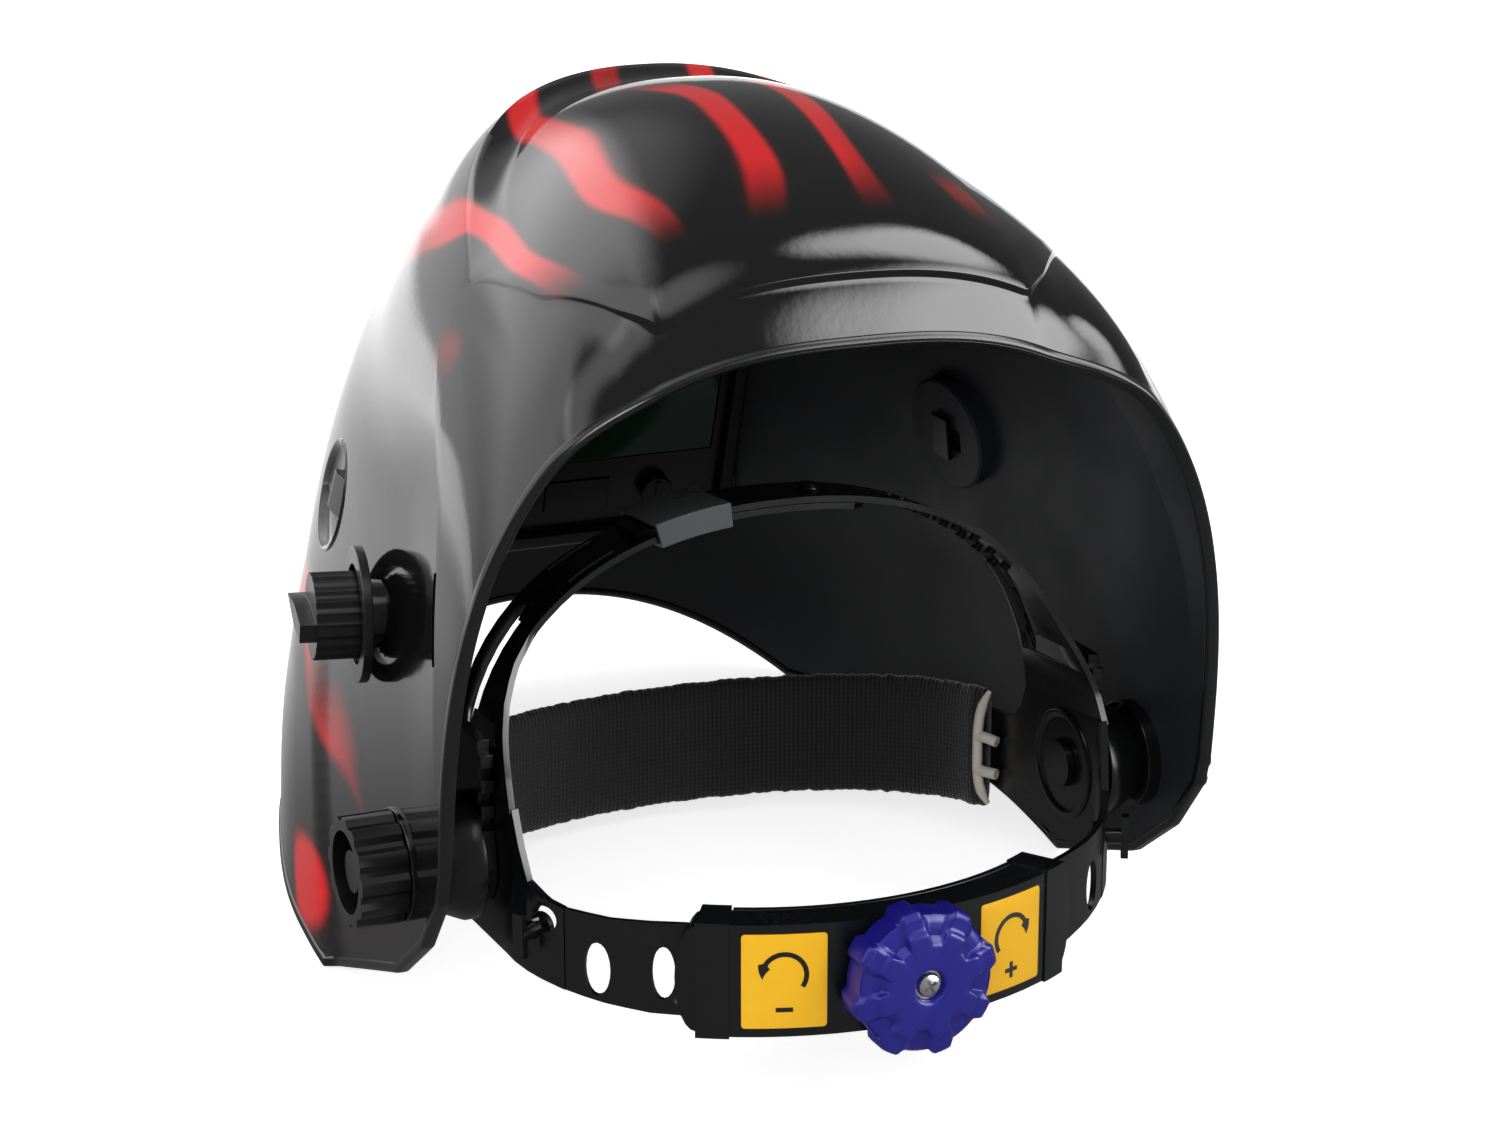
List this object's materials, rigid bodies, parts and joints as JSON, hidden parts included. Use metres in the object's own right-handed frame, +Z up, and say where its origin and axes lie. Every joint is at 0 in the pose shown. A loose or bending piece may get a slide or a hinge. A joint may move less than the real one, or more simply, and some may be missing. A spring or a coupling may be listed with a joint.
{
  "type": "welding_helmet",
  "caption": "Welding helmet: a rounded face shell with a window and auto-darkening filter, tilting on friction pivots over a padded headgear with a ratchet knob at the back.",
  "frame": {"origin": "centre of the part's width and depth, on the table under the shell's lower rim", "axes": "+X to the wearer's left, -Y the way the wearer looks, +Z up"},
  "size_m": [0.292, 0.3397, 0.2767],
  "materials": {
    "shell_plastic": "gloss black moulding with a red pattern, satin inside",
    "black_plastic": "satin black moulding",
    "dark_plastic": "dull black",
    "blue_plastic": "satin royal blue",
    "clear_lens": "clear polished sheet",
    "filter_glass": "dark green filter",
    "solar_cell": "dark blue cell",
    "knit_fabric": "black ribbed knit",
    "steel": "plain steel"
  },
  "bodies": {
    "face_shell": {"shell": "shell_plastic", "front_cover_lens": "clear_lens", "filter_holder": "black_plastic", "filter_cartridge": "black_plastic", "filter_glass": "filter_glass", "solar_cell": "solar_cell", "arc_sensor_left": "dark_plastic", "arc_sensor_right": "dark_plastic", "inner_cover_lens": "clear_lens", "battery_drawer": "dark_plastic", "shade_bezel_ring": "black_plastic", "shade_control_nut": "steel", "shade_control_body": "dark_plastic"},
    "headgear": {"headband": "black_plastic", "sweatband": "knit_fabric", "crown_strap_left": "black_plastic", "crown_strap_right": "black_plastic", "crown_buckle": "black_plastic", "crown_peg": "black_plastic", "strap_peg_left": "black_plastic", "strap_peg_right": "black_plastic", "rear_strap_left": "black_plastic", "rear_strap_right": "black_plastic", "pivot_stud_left": "steel", "pivot_stud_right": "steel", "pivot_spacer_left": "black_plastic", "pivot_spacer_right": "black_plastic", "tilt_stop_left": "black_plastic", "tilt_stop_right": "black_plastic"},
    "left_tension_knob": {"tension_knob_left": "black_plastic"},
    "right_tension_knob": {"tension_knob_right": "black_plastic"},
    "shade_dial": {"shade_knob": "black_plastic"},
    "sensitivity_dial": {"sensitivity_knob": "dark_plastic"},
    "delay_dial": {"delay_knob": "dark_plastic"},
    "left_catch": {"side_catch_left": "black_plastic"},
    "right_catch": {"side_catch_right": "black_plastic"},
    "ratchet": {"ratchet_housing": "black_plastic", "ratchet_cover": "black_plastic"},
    "ratchet_dial": {"ratchet_knob": "blue_plastic", "ratchet_pinion": "dark_plastic", "knob_screw": "steel"}
  },
  "joints": [
    {"name": "helmet_tilt", "type": "hinge", "parent": "face_shell", "child": "headgear", "pos_m": [0, 0.06046, 0.067], "axis": [1, 0, 0], "range_deg": [-18, 57]},
    {"name": "tension_left_turn", "type": "hinge", "parent": "headgear", "child": "left_tension_knob", "pos_m": [0.13, 0.06046, 0.067], "axis": [1, 0, 0], "range_deg": [0, 720]},
    {"name": "tension_right_turn", "type": "hinge", "parent": "headgear", "child": "right_tension_knob", "pos_m": [-0.13, 0.06046, 0.067], "axis": [-1, 0, 0], "range_deg": [0, 720]},
    {"name": "shade_turn", "type": "hinge", "parent": "face_shell", "child": "shade_dial", "pos_m": [0.12746, 0.01587, 0.13], "axis": [0.9877, -0.1564, 0], "range_deg": [-140, 140]},
    {"name": "sensitivity_turn", "type": "hinge", "parent": "face_shell", "child": "sensitivity_dial", "pos_m": [0.03, -0.13137, 0.08761], "axis": [0, 0.9918, -0.1275], "range_deg": [-135, 135]},
    {"name": "delay_turn", "type": "hinge", "parent": "face_shell", "child": "delay_dial", "pos_m": [-0.03, -0.13137, 0.08761], "axis": [0, 0.9918, -0.1275], "range_deg": [-135, 135]},
    {"name": "catch_left_slide", "type": "slide", "parent": "face_shell", "child": "left_catch", "axis": [0.1744, 0.9841, 0.0336], "range_m": [0, 0.005]},
    {"name": "catch_right_slide", "type": "slide", "parent": "face_shell", "child": "right_catch", "axis": [-0.1744, 0.9841, 0.0336], "range_m": [0, 0.005]},
    {"name": "ratchet_slide", "type": "slide", "parent": "headgear", "child": "ratchet", "axis": [0, 0.9816, 0.1908], "range_m": [-0.018, 0.012], "deforming": ["rear_strap_left", "rear_strap_right"]},
    {"name": "ratchet_knob_turn", "type": "hinge", "parent": "ratchet", "child": "ratchet_dial", "pos_m": [0, 0.15104, 0.0622], "axis": [0, 0.9816, 0.1908], "range_deg": [-153, 230]}
  ],
  "couplings": [
    {"joint": "ratchet_knob_turn", "follows": "ratchet_slide", "rad_per_m": -222.22}
  ]
}
